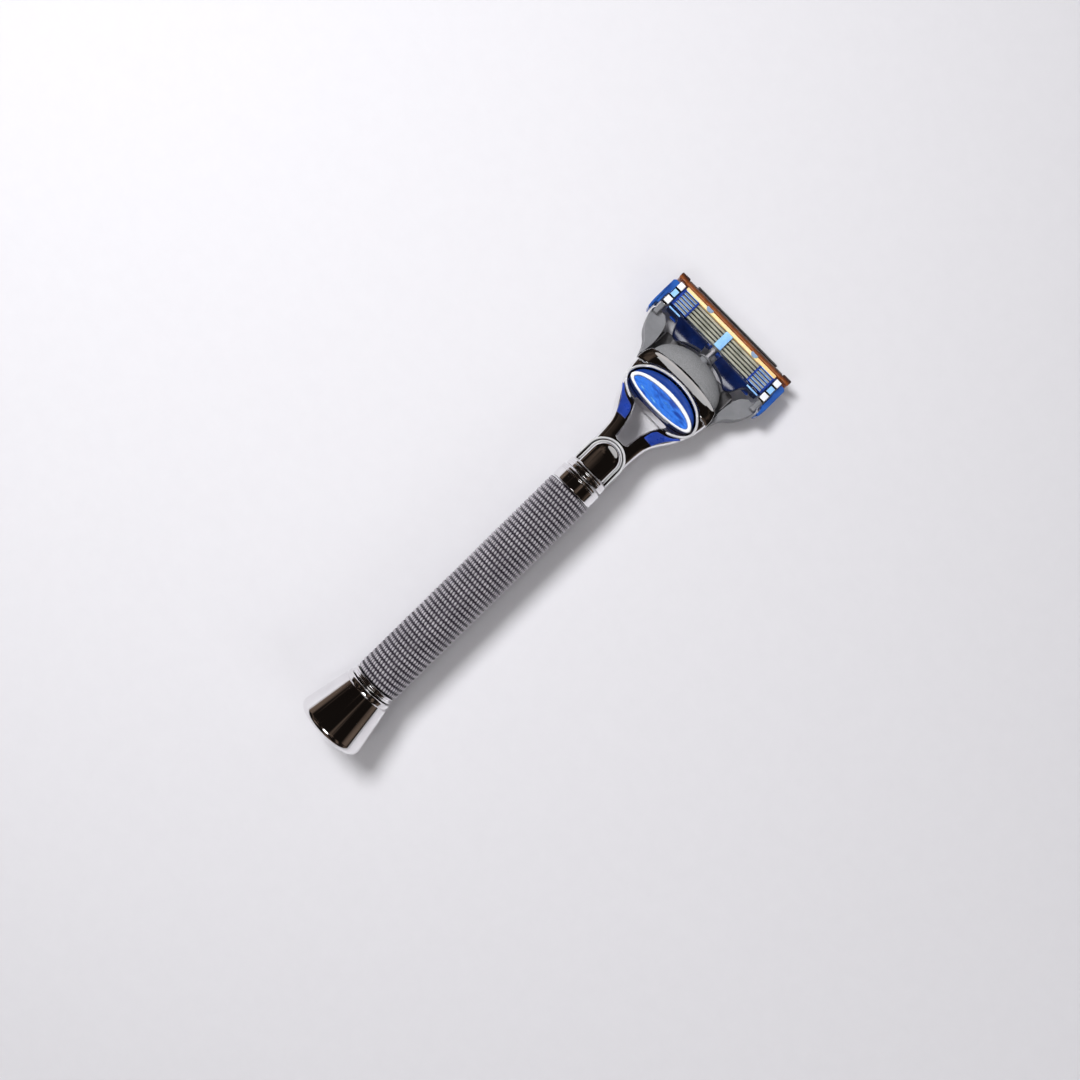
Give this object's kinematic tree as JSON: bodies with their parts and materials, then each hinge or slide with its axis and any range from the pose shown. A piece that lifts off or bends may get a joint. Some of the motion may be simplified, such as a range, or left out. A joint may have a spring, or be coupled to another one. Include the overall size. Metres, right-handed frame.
{
  "type": "cartridge razor",
  "caption": "Wet-shaving razor with a knurled tube handle, flared foot, chrome wishbone head, slide release button and a pivoting multi-blade cartridge.",
  "frame": {"origin": "centre of the flat pad on the foot's end face, on the handle's axis", "axes": "+Y along the handle from foot to head, +X across the head, +Z out of the blade face, so the razor lies on its back"},
  "size_m": [0.0426, 0.1551, 0.0204],
  "materials": {
    "chrome_plate": "mirror polished nickel-chrome plate",
    "knurled_steel": "bead-knurled, satin plated",
    "plain_steel": "turned steel",
    "brass": "turned brass",
    "blade_steel": "ground and coated blade steel",
    "clip_metal": "bright anodised",
    "black_rubber": "matt black rubber",
    "navy_plastic": "glossy moulded",
    "navy_rubber": "soft smooth elastomer",
    "blue_plastic": "textured translucent blue",
    "pale_blue_plastic": "moulded",
    "white_plastic": "moulded",
    "grey_plastic": "moulded satin",
    "grey_elastomer": "fine stippled elastomer",
    "strip_gel": "waxy lubricating strip",
    "copper_plastic": "copper brown moulded"
  },
  "bodies": {
    "handle": {"foot": "chrome_plate", "foot_pad": "black_rubber", "foot_screw": "plain_steel", "neck_ring": "chrome_plate", "grip_sleeve": "knurled_steel", "seal_lower": "black_rubber", "seal_upper": "black_rubber", "tie_rod": "plain_steel", "balance_weight": "brass", "coupling_nut": "plain_steel", "collar": "chrome_plate", "neck_band": "chrome_plate", "head_yoke": "chrome_plate", "neck_tongue": "chrome_plate", "arm_inlay_left": "navy_plastic", "arm_inlay_right": "navy_plastic", "button_bezel": "chrome_plate", "head_brow": "chrome_plate", "button_spring": "plain_steel"},
    "release_button": {"button_body": "navy_plastic", "button_ring": "white_plastic", "button_pad": "blue_plastic", "ejector_fork": "white_plastic"},
    "carrier": {"carrier_frame": "grey_plastic", "dome_boot": "grey_elastomer", "plunger_bush": "grey_plastic", "plunger_spring": "plain_steel"},
    "plunger": {"plunger": "grey_plastic"},
    "cartridge": {"cartridge_housing": "navy_plastic", "guard_left": "navy_rubber", "guard_right": "navy_rubber", "clip_left": "clip_metal", "clip_right": "clip_metal", "blade_stay": "pale_blue_plastic", "lubricating_strip": "strip_gel", "strip_holder": "copper_plastic", "trimmer_blade": "blade_steel", "trimmer_guard": "navy_plastic"},
    "blade_1": {"blade_1": "blade_steel"},
    "blade_2": {"blade_2": "blade_steel"},
    "blade_3": {"blade_3": "blade_steel"},
    "blade_4": {"blade_4": "blade_steel"},
    "blade_5": {"blade_5": "blade_steel"}
  },
  "joints": [
    {"name": "button_slide", "type": "slide", "parent": "handle", "child": "release_button", "axis": [0, 0.9903, -0.1392], "range_m": [0, 0.002], "stiffness_N_per_m": 150, "springref_m": -0.0005, "deforming": ["button_spring"]},
    {"name": "cartridge_release", "type": "slide", "parent": "handle", "child": "carrier", "axis": [0, 0.9903, -0.1392], "range_m": [0, 0.014]},
    {"name": "cartridge_pivot", "type": "hinge", "parent": "carrier", "child": "cartridge", "pos_m": [0, 0.14543, -0.00381], "axis": [-1, 0, 0], "range_deg": [0, 40], "stiffness_Nm_per_rad": 0.004, "springref_deg": -11.46},
    {"name": "plunger_slide", "type": "slide", "parent": "carrier", "child": "plunger", "axis": [0, -0.9903, 0.1392], "range_m": [0, 0.0015], "deforming": ["plunger_spring"]},
    {"name": "blade_1_float", "type": "slide", "parent": "cartridge", "child": "blade_1", "axis": [0, -0.1392, -0.9903], "range_m": [0, 0.0003], "stiffness_N_per_m": 15, "springref_m": -0.0003},
    {"name": "blade_2_float", "type": "slide", "parent": "cartridge", "child": "blade_2", "axis": [0, -0.1392, -0.9903], "range_m": [0, 0.0003], "stiffness_N_per_m": 15, "springref_m": -0.0003},
    {"name": "blade_3_float", "type": "slide", "parent": "cartridge", "child": "blade_3", "axis": [0, -0.1392, -0.9903], "range_m": [0, 0.0003], "stiffness_N_per_m": 15, "springref_m": -0.0003},
    {"name": "blade_4_float", "type": "slide", "parent": "cartridge", "child": "blade_4", "axis": [0, -0.1392, -0.9903], "range_m": [0, 0.0003], "stiffness_N_per_m": 15, "springref_m": -0.0003},
    {"name": "blade_5_float", "type": "slide", "parent": "cartridge", "child": "blade_5", "axis": [0, -0.1392, -0.9903], "range_m": [0, 0.0003], "stiffness_N_per_m": 15, "springref_m": -0.0003}
  ],
  "couplings": [
    {"joint": "plunger_slide", "follows": "cartridge_pivot", "m_per_rad": 0.002}
  ]
}
